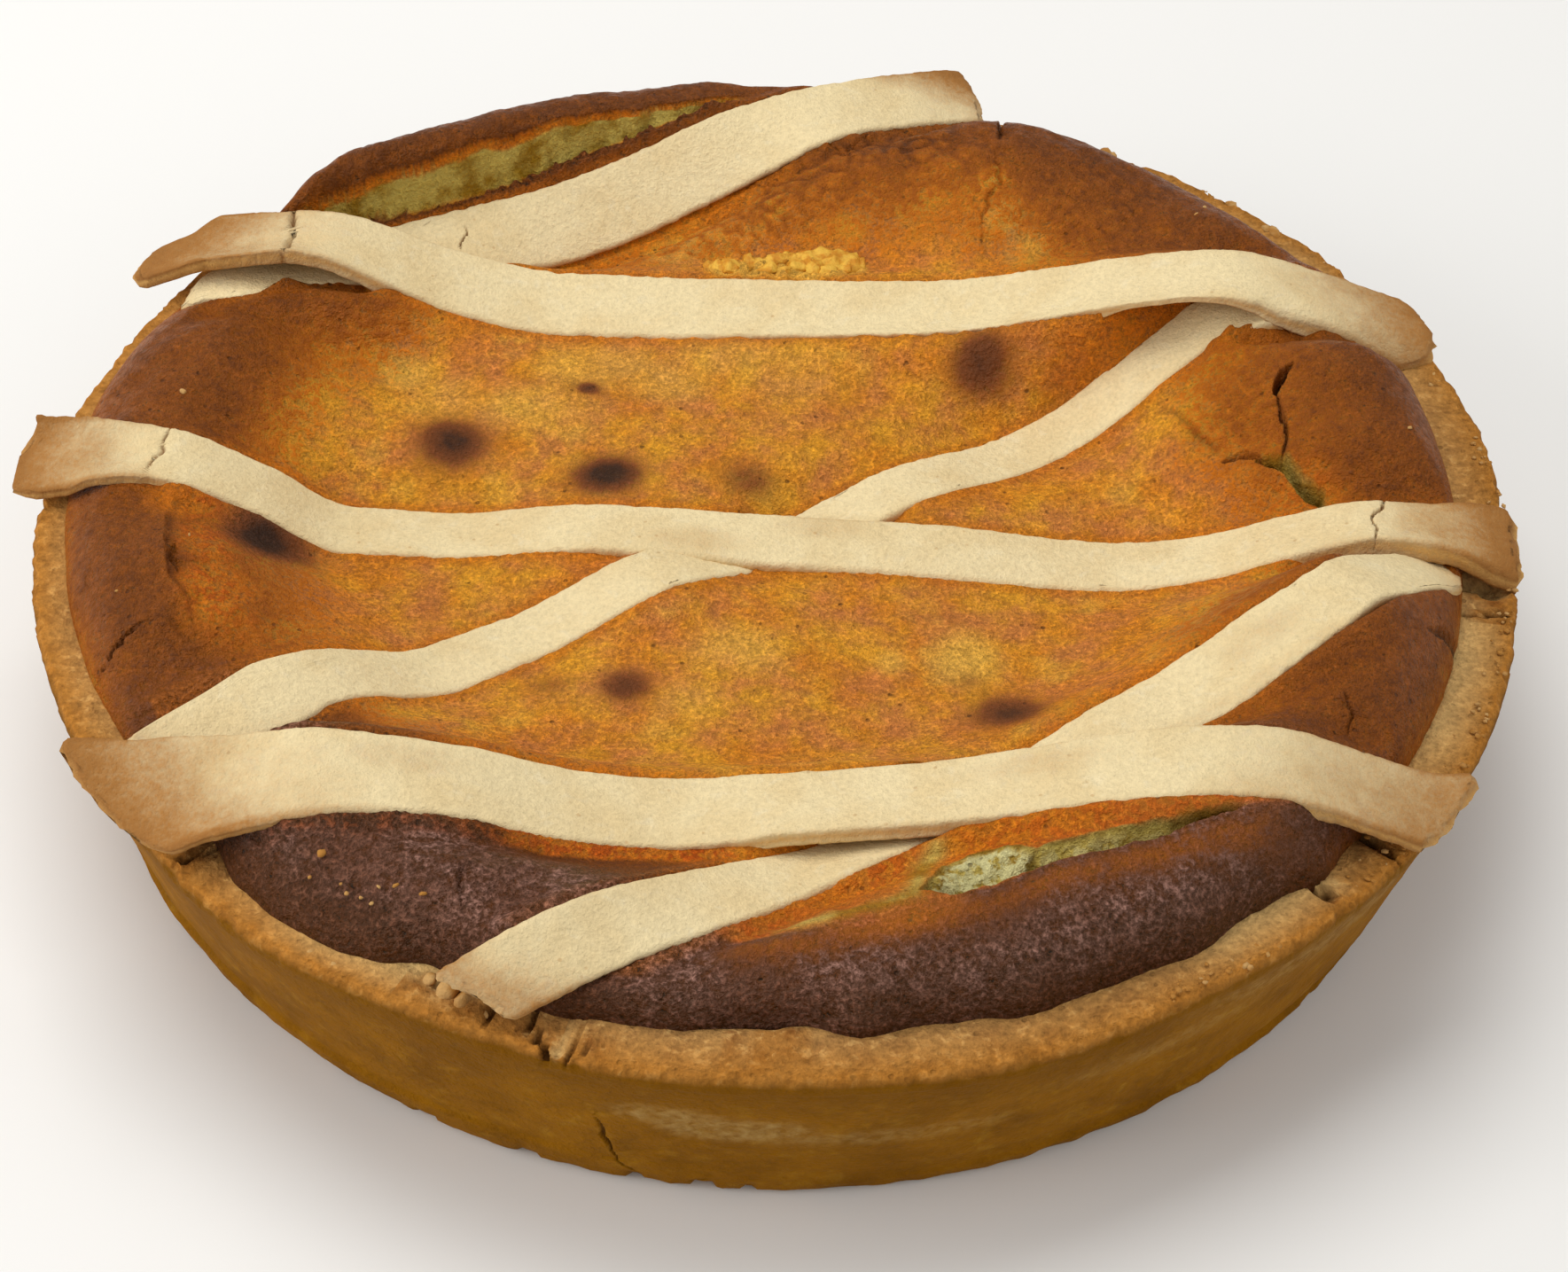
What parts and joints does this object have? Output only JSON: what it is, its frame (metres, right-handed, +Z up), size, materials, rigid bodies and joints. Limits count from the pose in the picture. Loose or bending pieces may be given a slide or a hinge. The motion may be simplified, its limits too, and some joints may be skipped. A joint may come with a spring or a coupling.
{
  "type": "pastiera",
  "caption": "Lattice-topped pie: a flared shortcrust shell filled with a browned, sunken filling that rises to a torn, rolled edge under crossed strips of pale shortcrust.",
  "frame": {"origin": "centre of the flat base, on the surface the pie stands on", "axes": "+Z up; +X along the strips that cross the pie from side to side, to the right as seen from the front; +Y towards the back"},
  "size_m": [0.2639, 0.26, 0.06],
  "materials": {
    "crust": "matt golden-brown baked shortcrust, crumbly at the rim",
    "filling": "baked ricotta filling, orange-gold in the middle, dark brown and slightly glossy on its rolled edge",
    "strips": "matt pale cream shortcrust, browned at its ends"
  },
  "bodies": {
    "root": {"crust": "crust", "filling": "filling", "strip_back": "strips", "strip_middle": "strips", "strip_front": "strips", "strip_diagonal_rear": "strips", "strip_diagonal_middle": "strips", "strip_diagonal_front": "strips"}
  },
  "joints": []
}
